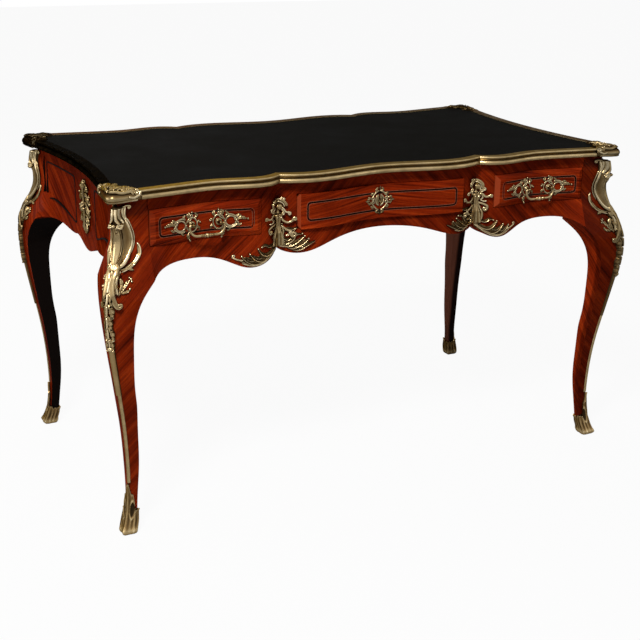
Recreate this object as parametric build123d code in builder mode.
"""Louis XV style bureau plat: serpentine writing table on cabriole legs, with three frieze drawers.

Millimetres, +Z up, origin on the floor under the middle of the table. The drawers open towards -Y.
The table is alike front to back and left to right, so most pieces are drawn once, at the back or
right (+Y, +X), and mirrored into their other places.
"""

from build123d import *
import os
from math import sqrt

os.makedirs("parts", exist_ok=True)

# ---------------------------------------------------------------- driving dimensions

# heights
WRITING_HEIGHT = 780.0  # top of the leather
LEATHER_THICKNESS = 1.5
RIM_HEIGHT = 20.0  # gilt rim, from the underside of the board to its top bead
RIM_TORUS, RIM_COVE = 10.5, 15.5  # tops of its lower moulding and of the hollow above
RIM_BEAD = 4.0
RIM_PROUD = 1.5  # rim above the leather
OPENING_TOP = 734.0  # upper edge of the drawer openings
OPENING_BOTTOM = 652.5  # lower edge of the drawer openings

# plan of the rim's outermost edge, long sides: three bays that meet in cusps
WAIST_Y = 325.0  # middle of the long side
CREST_X, CREST_Y = 190.0, 350.0
CUSP_X, CUSP_Y = 262.0, 330.0
SIDE_CREST_X, SIDE_CREST_Y = 315.0, 352.0
HOLLOW_X, HOLLOW_Y = 410.0, 338.0
SWELL_X, SWELL_Y = 470.0, 342.0  # the apron gives way to the knee blocks here
CLASP_X, CLASP_LONG_Y = 590.0, 360.0  # the corner clasp takes over here

# plan of the rim's outermost edge, short sides: one hollow sweep
END_MIDDLE_X = 627.0
END_SWELL_X, END_SWELL_Y = 641.0, 200.0
CLASP_END_X, CLASP_Y = 652.0, 270.0

# rim, clasps and board
RIM_WIDTH = 26.0
BOARD_CORNER_X, BOARD_CORNER_Y = 628.0, 332.0
CLASP_TIP_X = 679.0
CLASP_PLAN = (
    (618.0, 362.5),
    (645.0, 368.0),
    (667.0, 371.5),
    (CLASP_TIP_X, 361.0),
    (676.0, 340.0),
    (665.0, 312.0),
)  # bulge of a clasp round the corner
CLASP_SHELL_ROUND, CLASP_FOOT_ROUND = 7.0, 5.0  # upper and lower edge of the bulge
CLASP_PROUD = 7.0  # scrolled top above the leather
CLASP_LAP_PLAN = ((606.0, 319.0), (615.0, 315.0), (616.0, 303.0), (614.0, 288.0))  # its scrolled edge
CLASP_LAP_MARGIN = 4.0  # from the clasp's ends to the scrolled top

# frieze
FRIEZE_INSET = 22.0  # frieze face behind the rim's outermost edge
RAIL_BACK_Y = 280.0  # flat inner faces of the long rails
END_INNER_X = 583.0  # flat inner faces of the end panels
JOINT_X, JOINT_Y = 568.0, 268.0  # inner faces of the corner posts
MIDDLE_EDGE = 632.0  # lower edge of the long aprons at the middle
SLOPE_X, SLOPE_EDGE = 130.0, 617.0
BOWL_X, BOWL_EDGE = 222.0, 598.0
CUSP_EDGE = 612.0
LOW_X, LOW_EDGE = 327.0, 578.0
ARCH_EDGE = 613.0  # at the knee blocks
END_BOWL_EDGE = 565.0  # lower edge of the end panels
END_CUSP_Y, END_CUSP_EDGE = 80.0, 587.0
END_ARCH_EDGE = 593.0
KNEE_EDGE = 585.5  # lower edge where the knee meets the leg

# drawers
SIDE_BAY_INNER_X, SIDE_BAY_OUTER_X = 307.0, 566.5
CENTRE_BAY_X = 219.0
DRAWER_PROUD = 7.0
BEVEL_WIDTH, BEVEL_DEPTH = 11.0, 6.0
FRONT_GAP = 1.2  # round a drawer front in its opening
FRONT_THINNEST = 20.0
BOX_DEPTH = 420.0
BOX_TOP_GAP = 1.5  # sides of a box below the upper edge of its opening
BOX_WALL = 10.0
BOTTOM_THICKNESS = 6.0
BOTTOM_RAISE = 8.0  # underside of the bottom above the lower edge of the sides
GROOVE_DEPTH = 5.0

# running gear of the drawers
BEARER_THICKNESS = 18.0
LEDGE_WIDTH = 20.0
GUIDE_WIDTH = 14.0
GUIDE_HEIGHT = 26.0
STOP_LENGTH = 20.0

# legs: height, then outer and inner arris along the diagonal from the leg's centre line
LEG_CENTRE_X, LEG_CENTRE_Y = 630.0, 330.0
POST_OUTER, POST_INNER = 5.5, -100.0  # square post beside the drawers
POST_HEIGHTS = (725.0, 697.0, 672.0)  # stations that keep the post straight
KNEE_TOP = (OPENING_BOTTOM, 11.0, -101.0)
KNEE_SWELL = (615.0, 31.0, -108.0)
KNEE_LOW = (575.0, 52.0, -74.0)
LEG_BELOW_KNEE = (
    (540.0, 62.0, -37.0),
    (505.0, 63.0, -19.5),
    (460.0, 58.0, -13.0),
    (400.0, 47.0, -14.0),
    (330.0, 33.0, -20.0),
    (260.0, 19.5, -26.5),
    (190.0, 11.5, -29.0),
    (130.0, 9.0, -26.0),
    (75.0, 11.5, -18.5),
    (35.0, 18.5, -13.0),
)
LEG_BOTTOM = (7.0, 27.0, -3.0)
FILLET_WIDTH = 8.0
FILLET_PROUD = 1.4

# bronze mounts of the legs
CHUTE_PROUD = 8.0
CHUTE_TOP, CHUTE_NECK = 746.0, 14.0
CHUTE_LOBES = (
    (CHUTE_NECK, CHUTE_TOP),
    (22.0, 738.0),
    (17.0, 722.0),
    (24.0, 690.0),
    (36.0, 664.0),
    (40.0, 640.0),
    (30.0, 608.0),
)
CHUTE_SCROLL = ((30.0, 608.0), (30.0, 576.0), (18.0, 549.0), (8.0, 526.0))
CHUTE_DROP, CHUTE_TAIL = 7.0, 345.0
SABOT_STATIONS = (
    (0.0, 37.0, -5.0),
    (8.0, 41.0, -7.0),
    (30.0, 31.0, -15.5),
    (52.0, 21.0, -20.0),
    (80.0, 17.0, -24.5),
    (125.0, 13.5, -31.0),
)
ESPAGNOLETTE_LEAF = ((176.0, 612.0), (222.0, 602.0), (252.0, 609.0))  # towards the middle drawer
ESPAGNOLETTE_SPRAY = ((378.0, 598.0), (330.0, 607.0), (290.0, 628.0), (282.0, 668.0))
ESPAGNOLETTE_SCROLL = ((240.0, 668.0), (232.0, 630.0), (202.0, 618.0))
FIGURE_BASE = 700.0
BUST_PROFILE = ((4.0, 614.0), (13.0, 624.0), (8.0, 642.0), (11.0, 662.0), (14.0, 680.0), (5.0, 691.0))
HEAD_PROFILE = ((10.5, 699.0), (10.5, 708.0), (0.0, 716.0))
HEADDRESS_RADIUS, HEADDRESS_Z, HEADDRESS_BACK = 14.0, 711.0, 3.0
FINIAL_RADIUS = 3.0
ARM_PATH = ((8.0, 678.0), (21.0, 666.0), (26.0, 648.0), (20.0, 636.0))
ARM_RADIUS, HAND_RADIUS = 6.0, 8.0
FIGURE_FORWARD = 13.0  # axis of the figure before the frieze
SABOT_TIP = 118.0
SABOT_EDGE = ((40.0, 30.0), (20.0, 64.0), (9.0, 88.0), (0.0, SABOT_TIP))

# bronze mounts of the frieze
MOUNT_PROUD = 6.5
FIGURE_TOP = 729.0
END_MOUNT_TOP, END_MOUNT_BOTTOM = 727.0, 604.0
END_MOUNT_WIDTH = 40.0
END_MOUNT_EDGE = (
    (0.0, END_MOUNT_TOP),
    (0.8, END_MOUNT_TOP - 22),
    (0.45, END_MOUNT_TOP - 40),
    (1.0, END_MOUNT_BOTTOM + 52),
    (0.5, END_MOUNT_BOTTOM + 24),
    (0.0, END_MOUNT_BOTTOM),
)  # shares of half the width, and heights

# handles
HANDLE_X, HANDLE_Z = 437.5, 690.0
POST_SPACING, POST_DIAMETER = 63.0, 9.0
HANDLE_REACH = 15.0  # bail axis in front of the drawer face
BAIL_SPAN, BAIL_DROP, BAIL_DIAMETER = 80.0, 24.0, 5.6
BAIL_BEND, BAIL_BOWL = 2.8, 18.0  # radii of the bend at each post and of each lower corner
BAIL_SIDE_PLAY = 0.9
PIN_DIAMETER = 4.0
PLATE_THICKNESS = 3.0
PLATE_LENGTH, PLATE_HEIGHT = 88.0, 44.0

# lock
ESCUTCHEON_WIDTH, ESCUTCHEON_HEIGHT = 68.0, 58.0
ESCUTCHEON_EDGE = ((0.0, 1.0), (0.3, 0.6), (0.62, 0.3), (1.0, 0.0))  # shares of half its width and height
LOCK_WIDTH, LOCK_HEIGHT, LOCK_THICKNESS = 60.0, 46.0, 14.0
BOLT_WIDTH, BOLT_THICKNESS, BOLT_LENGTH = 20.0, 6.0, 26.0
BOLT_THROW = 8.0
KEYHOLE_DIAMETER, KEYHOLE_Z = 6.0, 702.0

# clearances
SEAT = 0.3  # curved bronze from the wood that carries it
GLUE = 0.1  # curved wood from curved wood
RUN = 0.3  # drawer above its bearers and below its kickers
SLIDE = 1.0  # drawer box beside its guides
PIN_CLEARANCE = 0.1  # on the radius
LOCK_CLEARANCE = 0.3

# ---------------------------------------------------------------- derived sizes

RIM_TOP = WRITING_HEIGHT + RIM_PROUD
BOARD_BOTTOM = RIM_TOP - RIM_HEIGHT
BOARD_TOP = WRITING_HEIGHT - LEATHER_THICKNESS
DRAWER_INSET = FRIEZE_INSET - DRAWER_PROUD
POST_STATIONS = [(height, POST_OUTER, POST_INNER) for height in (BOARD_BOTTOM, *POST_HEIGHTS)]
LEG_STATIONS = (*POST_STATIONS, KNEE_TOP, KNEE_SWELL, KNEE_LOW, *LEG_BELOW_KNEE, LEG_BOTTOM)
KNEE_STATIONS = (POST_STATIONS[-1], KNEE_TOP, KNEE_SWELL, KNEE_LOW, LEG_BELOW_KNEE[0])
CENTRE_BACK_Y = WAIST_Y - DRAWER_INSET - FRONT_THINNEST  # flat inner face of the middle drawer front
SIDE_BACK_Y = HOLLOW_Y - DRAWER_INSET - FRONT_THINNEST
FAR = 2 * CLASP_TIP_X  # past everything
CORNERS = {
    "front_left": (-1, -1),
    "front_right": (1, -1),
    "back_left": (-1, 1),
    "back_right": (1, 1),
}
SIDES = {"left": -1, "right": 1}

# ---------------------------------------------------------------- shared forms


def centre_bay(inset):
    """Points of the middle bay of the back edge, inset from the rim's outermost edge."""
    half = [(CREST_X, CREST_Y - inset), (CUSP_X, CUSP_Y - inset)]
    return [(-x, y) for x, y in reversed(half)] + [(0, WAIST_Y - inset)] + half


def side_bay(inset):
    """Points of the right bay of the back edge, from the cusp to the clasp."""
    return [
        (CUSP_X, CUSP_Y - inset),
        (SIDE_CREST_X, SIDE_CREST_Y - inset),
        (HOLLOW_X, HOLLOW_Y - inset),
        (SWELL_X, SWELL_Y - inset),
        (CLASP_X, CLASP_LONG_Y - inset),
    ]


def end_sweep(inset):
    """Points of the right end's edge, from the back clasp to the front one."""
    half = [(CLASP_END_X - inset, CLASP_Y), (END_SWELL_X - inset, END_SWELL_Y)]
    return half + [(END_MIDDLE_X - inset, 0)] + [(x, -y) for x, y in reversed(half)]


def plan_block(inset, bottom, top):
    """The table's plan, inset from the rim's outermost edge, as a block between two heights."""
    corner = (BOARD_CORNER_X + RIM_WIDTH - inset, BOARD_CORNER_Y + RIM_WIDTH - inset)
    with BuildPart() as block:
        with BuildSketch(Plane.XY.offset(bottom)):
            with BuildLine():
                Spline(side_bay(inset))
                Polyline(side_bay(inset)[-1], corner, end_sweep(inset)[0])
                mirror(about=Plane.YZ)
                mirror(about=Plane.XZ)
                for side in SIDES.values():
                    Spline([(x, side * y) for x, y in centre_bay(inset)])
                    Spline([(side * x, y) for x, y in end_sweep(inset)])
            make_face()
        extrude(amount=top - bottom)
    return block.part


def mirrored(part, side_x, side_y):
    """A part of the back right corner, placed in the corner with these signs."""
    if side_x < 0:
        part = mirror(part, about=Plane.YZ)
    if side_y < 0:
        part = mirror(part, about=Plane.XZ)
    return part


def finish(part, name):
    """Label a finished piece and write it."""
    part.label = name
    export_step(part, f"parts/{name}.step")


def long_view(y):
    """Plane to draw an elevation of the back on: X is the table's X, Y its height."""
    return Plane(origin=(0, y, 0), x_dir=(1, 0, 0), z_dir=(0, -1, 0))


def end_view(x):
    """Plane to draw an elevation of the right end on: X is the table's Y, Y its height."""
    return Plane(origin=(x, 0, 0), x_dir=(0, 1, 0), z_dir=(1, 0, 0))


# the leg's own view: along the diagonal, with X across it and Y its height
DIAGONAL = Plane(origin=(LEG_CENTRE_X, LEG_CENTRE_Y, 0), x_dir=(-1, 1, 0), z_dir=(1, 1, 0))

# ---------------------------------------------------------------- top

with BuildPart() as top_board:
    add(plan_block(RIM_WIDTH + SEAT, BOARD_BOTTOM, BOARD_TOP))
finish(top_board.part, "top_board")


def rim_bay(path_points, outward, along):
    """One bay of the rim: the moulding carried along it without turning, so that bays mitre at the cusps."""
    start = (*path_points[0], BOARD_BOTTOM)
    with BuildPart() as bay:
        with BuildLine() as path:
            Spline([(x, y, BOARD_BOTTOM) for x, y in path_points])
        with BuildSketch(Plane(origin=start, x_dir=outward, z_dir=along)):
            with BuildLine():
                Line((-RIM_WIDTH, 0), (-6, 0))
                ThreePointArc((-6, 0), (0, RIM_TORUS / 2), (-6, RIM_TORUS))
                Line((-6, RIM_TORUS), (-9, RIM_TORUS + 1))
                ThreePointArc((-9, RIM_TORUS + 1), (-7.5, RIM_COVE - 2), (-4.5, RIM_COVE))
                ThreePointArc((-4.5, RIM_COVE), (-4.5 + RIM_BEAD / 2, (RIM_COVE + RIM_HEIGHT) / 2), (-6, RIM_HEIGHT))
                Line((-6, RIM_HEIGHT), (-RIM_WIDTH, RIM_HEIGHT))
                Line((-RIM_WIDTH, RIM_HEIGHT), (-RIM_WIDTH, 0))
            make_face()
        sweep(path=path.wires()[0], normal=along)
    return bay.part


with BuildPart() as rim_back:
    add(rim_bay(centre_bay(0), (0, 1, 0), (1, 0, 0)))
    right_bay = rim_bay(side_bay(0), (0, 1, 0), (1, 0, 0))
    add(right_bay)
    add(mirrored(right_bay, -1, 1))
finish(rim_back.part, "rim_back")
finish(mirrored(rim_back.part, 1, -1), "rim_front")

with BuildPart() as rim_right:
    add(rim_bay(end_sweep(0), (1, 0, 0), (0, -1, 0)))
finish(rim_right.part, "rim_right")
finish(mirrored(rim_right.part, -1, 1), "rim_left")


def clasp_top(grow):
    """Scrolled top of a clasp, screwed down on the board; grown by a seat it trims the leather."""
    long_end = (CLASP_X + CLASP_LAP_MARGIN - grow, CLASP_LONG_Y - RIM_WIDTH)
    end_end = (CLASP_END_X - RIM_WIDTH, CLASP_Y + CLASP_LAP_MARGIN - grow)
    scrolled_edge = [(x - grow, y - grow) for x, y in CLASP_LAP_PLAN]
    with BuildPart() as top:
        with BuildSketch(Plane.XY.offset(BOARD_TOP)):
            with BuildLine():
                Spline(long_end, *scrolled_edge, end_end)
                Polyline(
                    end_end,
                    (CLASP_END_X - RIM_WIDTH / 4, end_end[1]),
                    CLASP_PLAN[-2],
                    CLASP_PLAN[1],
                    (long_end[0], CLASP_LONG_Y - RIM_WIDTH / 4),
                    long_end,
                )
            make_face()
        extrude(amount=WRITING_HEIGHT + CLASP_PROUD - BOARD_TOP)
        if grow == 0:
            fillet(top.edges().group_by(Axis.Z)[-1], CLASP_PROUD * 0.45)
    return top.part


def corner_clasp():
    """Cast corner: a bulge that wraps the board's corner, and a scrolled leaf that laps onto the board."""
    long_start = (CLASP_X, CLASP_LONG_Y + 1)
    end_start = (CLASP_END_X + 1, CLASP_Y)
    with BuildPart() as clasp:
        with BuildSketch(Plane.XY.offset(BOARD_BOTTOM)):
            with BuildLine():
                Spline(long_start, *CLASP_PLAN, end_start)
                Polyline(
                    end_start,
                    (CLASP_END_X - RIM_WIDTH, CLASP_Y),
                    (BOARD_CORNER_X, BOARD_CORNER_Y),
                    (CLASP_X, CLASP_LONG_Y - RIM_WIDTH),
                    long_start,
                )
            make_face()
        extrude(amount=RIM_HEIGHT)
        bulge = clasp.faces().filter_by(GeomType.EXTRUSION)
        fillet(bulge.edges().group_by(Axis.Z)[-1], CLASP_SHELL_ROUND)
        bulge = clasp.faces().filter_by(GeomType.EXTRUSION)
        fillet(bulge.edges().group_by(Axis.Z)[0], CLASP_FOOT_ROUND)
        add(clasp_top(0))
    return clasp.part


clasp_form = corner_clasp()
for corner, signs in CORNERS.items():
    finish(mirrored(clasp_form, *signs), f"corner_clasp_{corner}")

with BuildPart() as leather_panel:
    add(plan_block(RIM_WIDTH + SEAT, BOARD_TOP, WRITING_HEIGHT))
    notch = clasp_top(SEAT)
    for signs in CORNERS.values():
        add(mirrored(notch, *signs), mode=Mode.SUBTRACT)
finish(leather_panel.part, "leather_panel")

# ---------------------------------------------------------------- frieze


def apron_edge():
    """Right half of the long apron's lower edge: two bowls with a cusp between them."""
    middle_swell = ((0, MIDDLE_EDGE), (SLOPE_X, SLOPE_EDGE), (BOWL_X, BOWL_EDGE), (CUSP_X, CUSP_EDGE))
    Spline(middle_swell, tangents=((1, 0), (1, 0.9)))
    Spline((CUSP_X, CUSP_EDGE), (LOW_X, LOW_EDGE), (SWELL_X, ARCH_EDGE), tangents=((1, -1.6), (1, 0)))


def end_edge():
    """Back half of an end panel's lower edge: a bowl, then a shallow arch."""
    Spline((0, END_BOWL_EDGE), (END_CUSP_Y, END_CUSP_EDGE), tangents=((1, 0), (1, 0.1)))
    Spline((END_CUSP_Y, END_CUSP_EDGE), (END_SWELL_Y, END_ARCH_EDGE), tangents=((1, -0.3), (1, 0)))


def long_member(inset, inner_y, bottom, top, x_low, x_high):
    """Straight length of the back: serpentine outside, flat inside, cut square at its ends."""
    with BuildPart() as member:
        add(plan_block(inset, bottom, top))
        with BuildSketch(long_view(inner_y)):
            with Locations(((x_low + x_high) / 2, (bottom + top) / 2)):
                Rectangle(x_high - x_low, top - bottom)
        extrude(amount=-FAR, mode=Mode.INTERSECT)
    return member.part


def scalloped(blank, view, edge, reach, top):
    """A blank with its lower edge cut to shape, alike on both sides of the middle."""
    with BuildPart() as member:
        add(blank)
        with BuildSketch(view):
            with BuildLine():
                edge()
                Line((0, top), (reach[0], top))
                Line((reach[0], top), (reach[0], reach[1]))
                mirror(about=Plane.YZ)
            make_face()
        extrude(amount=FAR, both=True, mode=Mode.INTERSECT)
    return member.part


def long_apron(top):
    """Apron under the drawers, or with a higher top the whole middle of the back panel."""
    blank = long_member(FRIEZE_INSET, RAIL_BACK_Y, LOW_EDGE, top, -SWELL_X, SWELL_X)
    return scalloped(blank, long_view(0), apron_edge, (SWELL_X, ARCH_EDGE), top)


finish(mirrored(long_apron(OPENING_BOTTOM), 1, -1), "front_apron")

with BuildPart() as top_rail:
    add(long_member(FRIEZE_INSET, RAIL_BACK_Y, OPENING_TOP, BOARD_BOTTOM, -JOINT_X, JOINT_X))
    with BuildSketch(Plane.XY.offset(OPENING_TOP)):
        with Locations((0, CENTRE_BACK_Y - LOCK_THICKNESS / 2)):
            Rectangle(BOLT_WIDTH + 2, BOLT_THICKNESS + 2)
    extrude(amount=BOLT_THROW + 4, mode=Mode.SUBTRACT)
finish(mirrored(top_rail.part, 1, -1), "front_top_rail")

with BuildPart() as dividers:
    divider = long_member(
        FRIEZE_INSET, RAIL_BACK_Y, OPENING_BOTTOM, OPENING_TOP, CENTRE_BAY_X, SIDE_BAY_INNER_X
    )
    add(divider)
    add(mirrored(divider, -1, 1))
finish(mirrored(dividers.part, 1, -1), "drawer_dividers")

with BuildPart() as back_panel:
    add(long_apron(OPENING_BOTTOM))
    add(long_member(FRIEZE_INSET, RAIL_BACK_Y, OPENING_BOTTOM, BOARD_BOTTOM, -JOINT_X, JOINT_X))
finish(back_panel.part, "back_panel")

with BuildPart() as end_blank:
    add(plan_block(FRIEZE_INSET, END_BOWL_EDGE, BOARD_BOTTOM))
    with BuildSketch(end_view(END_INNER_X)):
        with Locations((0, (END_BOWL_EDGE + OPENING_BOTTOM) / 2)):
            Rectangle(2 * END_SWELL_Y, OPENING_BOTTOM - END_BOWL_EDGE)
        with Locations((0, (OPENING_BOTTOM + BOARD_BOTTOM) / 2)):
            Rectangle(2 * JOINT_Y, BOARD_BOTTOM - OPENING_BOTTOM)
    extrude(amount=FAR, mode=Mode.INTERSECT)
with BuildPart() as end_panel:
    add(end_blank.part)
    with BuildSketch(end_view(0)):
        with BuildLine():
            end_edge()
            Polyline((0, BOARD_BOTTOM), (JOINT_Y, BOARD_BOTTOM), (JOINT_Y, END_ARCH_EDGE))
            Line((JOINT_Y, END_ARCH_EDGE), (END_SWELL_Y, END_ARCH_EDGE))
            mirror(about=Plane.YZ)
        make_face()
    extrude(amount=FAR, mode=Mode.INTERSECT)
for side, sign in SIDES.items():
    finish(mirrored(end_panel.part, sign, 1), f"end_panel_{side}")

# ---------------------------------------------------------------- legs


def square_loft(stations, grow=0.0):
    """Loft of squares set by the outer and inner arris of each station, larger all round by grow."""
    with BuildPart() as form:
        for height, outer, inner in stations:
            half_side = (outer - inner) / sqrt(2) / 2 + grow
            shift = (outer + inner) / sqrt(2) / 2
            with BuildSketch(Plane.XY.offset(height)):
                with Locations((LEG_CENTRE_X + shift, LEG_CENTRE_Y + shift)):
                    Rectangle(2 * half_side, 2 * half_side)
        loft()
    return form.part


leg_form = square_loft(LEG_STATIONS)
leg_seat = square_loft(LEG_STATIONS, SEAT)
with BuildPart() as leg:
    add(leg_form)
    with BuildSketch():
        Rectangle(FAR, FAR, align=(Align.MIN, Align.MIN))
        Rectangle(JOINT_X, FAR, align=(Align.MIN, Align.MIN), mode=Mode.SUBTRACT)
        Rectangle(FAR, JOINT_Y, align=(Align.MIN, Align.MIN), mode=Mode.SUBTRACT)
    extrude(amount=FAR, mode=Mode.INTERSECT)
for corner, signs in CORNERS.items():
    finish(mirrored(leg.part, *signs), f"leg_{corner}")


def knee_block(start, face, joint, leg_centre, inner, plane_at):
    """Block glued between an apron and the leg: it swells out to the knee, and its lower edge turns down."""
    with BuildPart() as block:
        for height, outer, _ in KNEE_STATIONS:
            leg_face = leg_centre + outer / sqrt(2)
            with BuildSketch(plane_at(height)):
                with BuildLine():
                    Spline((start, face), (joint, leg_face), tangents=((1, 0.1), (1, 0.25 + outer / 60)))
                    Polyline((joint, leg_face), (joint, inner), (start, inner), (start, face))
                make_face()
        loft()
    return block.part


def long_plane(height):
    """Level plane with X along the back and Y outwards."""
    return Plane.XY.offset(height)


def end_plane(height):
    """Level plane with X along the right end and Y outwards."""
    return Plane(origin=(0, 0, height), x_dir=(0, 1, 0), z_dir=(0, 0, -1))


def knee_edge(start, arch_edge, joint):
    """Outline of a knee block: its lower edge turns down to the leg."""
    Spline((start, arch_edge), (joint, KNEE_EDGE), tangents=((1, 0), (1, -1)))
    Polyline((joint, KNEE_EDGE), (joint, OPENING_BOTTOM), (start, OPENING_BOTTOM), (start, arch_edge))


with BuildPart() as long_knee:
    face_y = SWELL_Y - FRIEZE_INSET
    add(knee_block(SWELL_X, face_y, JOINT_X, LEG_CENTRE_Y, RAIL_BACK_Y, long_plane))
    with BuildSketch(long_view(0)):
        with BuildLine():
            knee_edge(SWELL_X, ARCH_EDGE, JOINT_X)
        make_face()
    extrude(amount=-FAR, mode=Mode.INTERSECT)
with BuildPart() as end_knee:
    face_x = END_SWELL_X - FRIEZE_INSET
    add(knee_block(END_SWELL_Y, face_x, JOINT_Y, LEG_CENTRE_X, END_INNER_X, end_plane))
    with BuildSketch(end_view(0)):
        with BuildLine():
            knee_edge(END_SWELL_Y, END_ARCH_EDGE, JOINT_Y)
        make_face()
    extrude(amount=FAR, mode=Mode.INTERSECT)
with BuildPart() as knee_blocks:
    for signs in CORNERS.values():
        add(mirrored(long_knee.part, *signs))
        add(mirrored(end_knee.part, *signs))
finish(knee_blocks.part, "knee_blocks")

with BuildPart() as corner_chute:
    add(Pos(CHUTE_PROUD, CHUTE_PROUD, 0) * leg_form)
    add(leg_seat, mode=Mode.SUBTRACT)
    with BuildSketch(DIAGONAL.offset(-FAR)):
        with BuildLine():
            Line((0, CHUTE_TOP), CHUTE_LOBES[0])
            Spline(CHUTE_LOBES)
            Spline(CHUTE_SCROLL)
            Line(CHUTE_SCROLL[-1], (CHUTE_DROP, CHUTE_TAIL + CHUTE_DROP))
            Line((CHUTE_DROP, CHUTE_TAIL + CHUTE_DROP), (0, CHUTE_TAIL))
            mirror(about=Plane.YZ)
        make_face()
    extrude(amount=2 * FAR, mode=Mode.INTERSECT)
for corner, signs in CORNERS.items():
    finish(mirrored(corner_chute.part, *signs), f"corner_chute_{corner}")

with BuildPart() as sabot:
    add(square_loft(SABOT_STATIONS))
    add(leg_seat, mode=Mode.SUBTRACT)
    with BuildSketch(DIAGONAL):
        with BuildLine():
            Polyline((0, -1), (SABOT_EDGE[0][0], -1), SABOT_EDGE[0])
            Spline(SABOT_EDGE)
            mirror(about=Plane.YZ)
        make_face()
    extrude(amount=FAR, both=True, mode=Mode.INTERSECT)
for corner, signs in CORNERS.items():
    finish(mirrored(sabot.part, *signs), f"sabot_{corner}")

with BuildPart() as edge_fillet:
    add(Pos(FILLET_PROUD, FILLET_PROUD, 0) * leg_form)
    add(leg_seat, mode=Mode.SUBTRACT)
    with BuildSketch(DIAGONAL):
        with Locations((0, (SABOT_TIP + CHUTE_TAIL) / 2)):
            Rectangle(FILLET_WIDTH, CHUTE_TAIL - SABOT_TIP)
    extrude(amount=FAR, mode=Mode.INTERSECT)
with BuildPart() as leg_edge_fillets:
    for signs in CORNERS.values():
        add(mirrored(edge_fillet.part, *signs))
finish(leg_edge_fillets.part, "leg_edge_fillets")

# ---------------------------------------------------------------- mounts of the frieze


def veneer(inset, thickness, bottom, top):
    """Skin of even depth that follows the plan, a seat's clearance in front of the face at this inset."""
    with BuildPart() as skin:
        add(plan_block(inset - SEAT - thickness, bottom, top))
        add(plan_block(inset - SEAT, bottom - 1, top + 1), mode=Mode.SUBTRACT)
    return skin.part


def figure(centre):
    """Turned bust and head on a leaf calyx, with a domed headdress and curled arms; centre is its axis."""
    front = Plane.XZ.offset(-centre[1]).shift_origin((centre[0], centre[1], 0))
    with BuildPart() as bust:
        with BuildSketch(front):
            with BuildLine():
                Line((0, BUST_PROFILE[0][1]), BUST_PROFILE[0])
                Spline(BUST_PROFILE)
                Spline((BUST_PROFILE[-1], *HEAD_PROFILE), tangents=((1, 0.5), (-1, 0)))
                Line(HEAD_PROFILE[-1], (0, BUST_PROFILE[0][1]))
            make_face()
        revolve(axis=Axis((centre[0], centre[1], 0), (0, 0, 1)))
        with Locations((centre[0], centre[1] - HEADDRESS_BACK, HEADDRESS_Z)):
            Sphere(HEADDRESS_RADIUS)
        with Locations((centre[0], centre[1] - HEADDRESS_BACK, FIGURE_TOP - FINIAL_RADIUS)):
            Sphere(FINIAL_RADIUS)
        for turn in (-1, 1):
            with BuildLine(front):
                arm = Spline([(turn * x, z) for x, z in ARM_PATH])
            with BuildSketch(Plane(origin=arm @ 0, z_dir=arm % 0)):
                Circle(ARM_RADIUS)
            sweep(path=arm)
            with Locations(arm @ 1):
                Sphere(HAND_RADIUS)
    return bust.part


with BuildPart() as espagnolette:
    add(veneer(FRIEZE_INSET, MOUNT_PROUD, LOW_EDGE, FIGURE_TOP))
    with BuildSketch(long_view(0)):
        with BuildLine():
            cusp = (CUSP_X, CUSP_EDGE + 3)
            throat = (CUSP_X, FIGURE_BASE)
            Spline(*ESPAGNOLETTE_LEAF, cusp, tangents=((1, -0.5), (1, 1)))
            Spline(cusp, (LOW_X, LOW_EDGE + 4), ESPAGNOLETTE_SPRAY[0], tangents=((1, -1.6), (1, 0.2)))
            Spline(*ESPAGNOLETTE_SPRAY, throat)
            Spline(throat, *ESPAGNOLETTE_SCROLL, ESPAGNOLETTE_LEAF[0])
        make_face()
    extrude(amount=-FAR, mode=Mode.INTERSECT)
    add(figure((CUSP_X, CUSP_Y - FRIEZE_INSET + FIGURE_FORWARD)))
    add(plan_block(FRIEZE_INSET - SEAT, LOW_EDGE, BOARD_BOTTOM), mode=Mode.SUBTRACT)
for corner, signs in CORNERS.items():
    finish(mirrored(espagnolette.part, *signs), f"espagnolette_{corner}")

with BuildPart() as end_mount:
    add(veneer(FRIEZE_INSET, MOUNT_PROUD, END_MOUNT_BOTTOM, END_MOUNT_TOP))
    with BuildSketch(end_view(0)):
        with BuildLine():
            half = END_MOUNT_WIDTH / 2
            Spline([(half * x, z) for x, z in END_MOUNT_EDGE])
            mirror(about=Plane.YZ)
        make_face()
    extrude(amount=FAR, mode=Mode.INTERSECT)
for side, sign in SIDES.items():
    finish(mirrored(end_mount.part, sign, 1), f"end_mount_{side}")

# ---------------------------------------------------------------- drawers

BAYS = {
    "left": (-SIDE_BAY_OUTER_X, -SIDE_BAY_INNER_X, SIDE_BACK_Y),
    "centre": (-CENTRE_BAY_X, CENTRE_BAY_X, CENTRE_BACK_Y),
    "right": (SIDE_BAY_INNER_X, SIDE_BAY_OUTER_X, SIDE_BACK_Y),
}
BOX_BOTTOM = OPENING_BOTTOM + RUN
BOX_TOP = OPENING_TOP - BOX_TOP_GAP


def bevelled(blank):
    """A drawer front with its bevelled border."""
    with BuildPart() as front:
        add(blank)
        face = front.faces().sort_by(Axis.Y)[-1]
        chamfer(face.edges(), BEVEL_WIDTH, BEVEL_DEPTH, reference=face)
    return front.part


def front_blank(x_low, x_high, inner_y):
    """Block for a drawer front: serpentine outside, flat inside, in its opening."""
    bottom, top = OPENING_BOTTOM + FRONT_GAP, OPENING_TOP - FRONT_GAP
    return long_member(DRAWER_INSET, inner_y, bottom, top, x_low + FRONT_GAP, x_high - FRONT_GAP)


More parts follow.
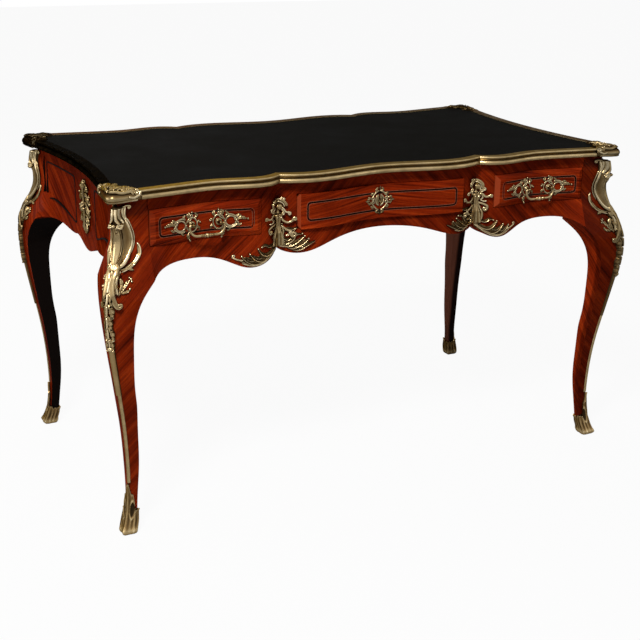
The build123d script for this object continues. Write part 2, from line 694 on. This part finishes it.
def keyhole():
    """Keyhole through whatever lies on the middle of the long side."""
    with BuildPart() as hole:
        with BuildSketch(long_view(0)):
            with Locations((0, KEYHOLE_Z)):
                Circle(KEYHOLE_DIAMETER / 2)
            with Locations((0, KEYHOLE_Z - KEYHOLE_DIAMETER)):
                Rectangle(KEYHOLE_DIAMETER / 2, 2 * KEYHOLE_DIAMETER)
        extrude(amount=-FAR)
    return hole.part


def box_plan(bay, wall, shorter):
    """Rectangle inside a drawer box's outline, a wall's width in from its sides and back."""
    x_low, x_high, inner_y = bay
    with Locations(((x_low + x_high) / 2, inner_y)):
        Rectangle(x_high - x_low - 2 * SLIDE - 2 * wall, BOX_DEPTH - shorter, align=(Align.CENTER, Align.MAX))


for name, bay in BAYS.items():
    with BuildPart() as drawer_front:
        add(bevelled(front_blank(*bay)))
        if name == "centre":
            add(keyhole(), mode=Mode.SUBTRACT)
    finish(mirrored(drawer_front.part, 1, -1), f"{name}_drawer_front")

    with BuildPart() as drawer_box:
        with BuildSketch(Plane.XY.offset(BOX_BOTTOM)):
            box_plan(bay, 0, 0)
        extrude(amount=BOX_TOP - BOX_BOTTOM)
        with BuildSketch(Plane.XY.offset(BOX_BOTTOM)):
            box_plan(bay, BOX_WALL, BOX_WALL)
        extrude(amount=BOX_TOP - BOX_BOTTOM, mode=Mode.SUBTRACT)
        with BuildSketch(Plane.XY.offset(BOX_BOTTOM + BOTTOM_RAISE)):
            box_plan(bay, BOX_WALL - GROOVE_DEPTH, BOX_WALL - GROOVE_DEPTH)
        extrude(amount=BOTTOM_THICKNESS, mode=Mode.SUBTRACT)
    finish(mirrored(drawer_box.part, 1, -1), f"{name}_drawer_box")

    with BuildPart() as drawer_bottom:
        with BuildSketch(Plane.XY.offset(BOX_BOTTOM + BOTTOM_RAISE)):
            box_plan(bay, BOX_WALL - GROOVE_DEPTH, BOX_WALL - GROOVE_DEPTH)
        extrude(amount=BOTTOM_THICKNESS)
    finish(mirrored(drawer_bottom.part, 1, -1), f"{name}_drawer_bottom")

with BuildPart() as dummy_fronts:
    for bay in BAYS.values():
        add(bevelled(front_blank(*bay)))
    add(plan_block(FRIEZE_INSET - GLUE, OPENING_BOTTOM, OPENING_TOP), mode=Mode.SUBTRACT)
finish(dummy_fronts.part, "back_dummy_fronts")

# running gear: a ledge and a guide beside each edge of each bay, a kicker above, a stop behind


def rail(x_low, x_high, y_low, y_high, bottom, top):
    """Straight square rail, added to the piece in hand."""
    with Locations(((x_low + x_high) / 2, (y_low + y_high) / 2, (bottom + top) / 2)):
        Box(abs(x_high - x_low), y_high - y_low, top - bottom)


def gear_lines():
    """Edge of each bay as x, its drawer's side, the guide's width, half the rail's length, inner y."""
    outer_guide = END_INNER_X - SIDE_BAY_OUTER_X
    for x_low, x_high, inner_y in BAYS.values():
        for edge, inward in ((x_low, 1), (x_high, -1)):
            at_leg = abs(edge) == SIDE_BAY_OUTER_X
            width = outer_guide if at_leg else GUIDE_WIDTH
            yield edge, inward, width, JOINT_Y if at_leg else RAIL_BACK_Y, inner_y


with BuildPart() as drawer_bearers:
    for edge, inward, guide, reach, _ in gear_lines():
        ledge_bottom = OPENING_BOTTOM - BEARER_THICKNESS
        rail(edge - inward * guide, edge + inward * LEDGE_WIDTH, -reach, reach, ledge_bottom, OPENING_BOTTOM)
        rail(edge - inward * guide, edge, -reach, reach, ledge_bottom, OPENING_BOTTOM + GUIDE_HEIGHT)
finish(drawer_bearers.part, "drawer_bearers")

with BuildPart() as drawer_kickers:
    for edge, inward, guide, reach, _ in gear_lines():
        rail(edge - inward * guide, edge + inward * LEDGE_WIDTH, -reach, reach, OPENING_TOP, BOARD_BOTTOM)
finish(drawer_kickers.part, "drawer_kickers")

with BuildPart() as drawer_stops:
    for edge, inward, _, _, inner_y in gear_lines():
        back = BOX_DEPTH + RUN - inner_y
        inner = edge + inward * LEDGE_WIDTH
        rail(edge, inner, back, back + STOP_LENGTH, OPENING_BOTTOM, OPENING_BOTTOM + GUIDE_HEIGHT)
finish(drawer_stops.part, "drawer_stops")

# ---------------------------------------------------------------- handles

BAIL_Y = HOLLOW_Y - DRAWER_INSET + HANDLE_REACH
ARM_X = BAIL_SPAN / 2
POST_X = POST_SPACING / 2
PLATE_SIGNS = (-1, 1)

with BuildPart() as handle_plates:
    with BuildSketch(long_view(0)):
        for turn in PLATE_SIGNS:
            with Locations((HANDLE_X + turn * (POST_X + PLATE_LENGTH * 0.16), HANDLE_Z)):
                Ellipse(PLATE_LENGTH * 0.42, PLATE_HEIGHT * 0.3)
            with Locations((HANDLE_X + turn * POST_X, HANDLE_Z)):
                Circle(PLATE_HEIGHT / 2)
            with Locations((HANDLE_X + turn * (POST_X + PLATE_LENGTH * 0.5), HANDLE_Z)):
                Circle(PLATE_HEIGHT * 0.16)
    extrude(amount=-FAR)
    add(plan_block(DRAWER_INSET - SEAT - PLATE_THICKNESS, OPENING_BOTTOM, OPENING_TOP), mode=Mode.INTERSECT)
    with BuildSketch(long_view(0)):
        for turn in PLATE_SIGNS:
            with Locations((HANDLE_X + turn * (POST_X + PLATE_LENGTH * 0.26), HANDLE_Z)):
                SlotOverall(PLATE_LENGTH * 0.22, PLATE_HEIGHT * 0.22)
            with Locations((HANDLE_X + turn * (POST_X - PLATE_HEIGHT * 0.32), HANDLE_Z)):
                Circle(PLATE_HEIGHT * 0.07)
    extrude(amount=-FAR, mode=Mode.SUBTRACT)
    with BuildSketch(long_view(0)):
        with Locations((HANDLE_X - POST_X, HANDLE_Z), (HANDLE_X + POST_X, HANDLE_Z)):
            Circle(POST_DIAMETER / 2)
    extrude(amount=-(BAIL_Y + POST_DIAMETER / 2))
    with BuildSketch(Plane.YZ):
        with Locations((BAIL_Y, HANDLE_Z)):
            Circle(PIN_DIAMETER / 2 + PIN_CLEARANCE)
    extrude(amount=FAR, mode=Mode.SUBTRACT)
    add(plan_block(DRAWER_INSET - SEAT, OPENING_BOTTOM, OPENING_TOP), mode=Mode.SUBTRACT)

with BuildPart() as bail:
    shoulder = POST_X + POST_DIAMETER / 2 + BAIL_SIDE_PLAY
    pin_tip = POST_X - POST_DIAMETER / 4
    hanging = Plane(origin=(HANDLE_X, BAIL_Y, HANDLE_Z), x_dir=(1, 0, 0), z_dir=(0, -1, 0))
    with BuildLine(hanging) as bail_path:
        outline = ((shoulder, 0), (ARM_X, 0), (ARM_X, -BAIL_DROP), (0, -BAIL_DROP))
        FilletPolyline(*outline, radius=(BAIL_BEND, BAIL_BOWL))
    with BuildSketch(Plane.YZ.offset(HANDLE_X + shoulder)):
        with Locations((BAIL_Y, HANDLE_Z)):
            Circle(BAIL_DIAMETER / 2)
    sweep(path=bail_path.wires()[0])
    with BuildSketch(Plane.YZ.offset(HANDLE_X + pin_tip)):
        with Locations((BAIL_Y, HANDLE_Z)):
            Circle(PIN_DIAMETER / 2)
    extrude(amount=shoulder - pin_tip)
    with Locations((HANDLE_X, BAIL_Y, HANDLE_Z - BAIL_DROP)):
        Sphere(BAIL_DIAMETER * 0.9)
    mirror(about=Plane.YZ.offset(HANDLE_X))

for side, sign in SIDES.items():
    finish(mirrored(handle_plates.part, sign, -1), f"{side}_handle_plates")
    finish(mirrored(bail.part, sign, -1), f"{side}_bail")
    finish(mirrored(bail.part, sign, 1), f"back_{side}_bail")
with BuildPart() as back_handle_plates:
    for sign in SIDES.values():
        add(mirrored(handle_plates.part, sign, 1))
finish(back_handle_plates.part, "back_handle_plates")

# ---------------------------------------------------------------- escutcheons and lock

with BuildPart() as escutcheon:
    add(veneer(DRAWER_INSET, PLATE_THICKNESS, OPENING_BOTTOM, OPENING_TOP))
    with BuildSketch(long_view(0)):
        with BuildLine():
            wide, high = ESCUTCHEON_WIDTH / 2, ESCUTCHEON_HEIGHT / 2
            middle = KEYHOLE_Z - KEYHOLE_DIAMETER
            for flip in (1, -1):
                Spline([(wide * x, middle + flip * high * z) for x, z in ESCUTCHEON_EDGE])
            mirror(about=Plane.YZ)
        make_face()
    extrude(amount=-FAR, mode=Mode.INTERSECT)
    add(keyhole(), mode=Mode.SUBTRACT)
finish(mirrored(escutcheon.part, 1, -1), "centre_escutcheon")
finish(escutcheon.part, "back_escutcheon")

LOCK_TOP = BOX_TOP
BOLT_Y = CENTRE_BACK_Y - LOCK_THICKNESS / 2
with BuildPart() as lock_case:
    with BuildSketch(Plane.XY.offset(LOCK_TOP)):
        with Locations((0, BOLT_Y)):
            Rectangle(LOCK_WIDTH, LOCK_THICKNESS)
    extrude(amount=-LOCK_HEIGHT)
    with BuildSketch(Plane.XY.offset(LOCK_TOP)):
        with Locations((0, BOLT_Y)):
            Rectangle(BOLT_WIDTH + 2 * LOCK_CLEARANCE, BOLT_THICKNESS + 2 * LOCK_CLEARANCE)
    extrude(amount=-(BOLT_LENGTH + LOCK_CLEARANCE), mode=Mode.SUBTRACT)
    add(keyhole(), mode=Mode.SUBTRACT)
finish(mirrored(lock_case.part, 1, -1), "lock_case")

with BuildPart() as lock_bolt:
    with BuildSketch(Plane.XY.offset(LOCK_TOP)):
        with Locations((0, BOLT_Y)):
            Rectangle(BOLT_WIDTH, BOLT_THICKNESS)
    extrude(amount=-BOLT_LENGTH)
finish(mirrored(lock_bolt.part, 1, -1), "lock_bolt")
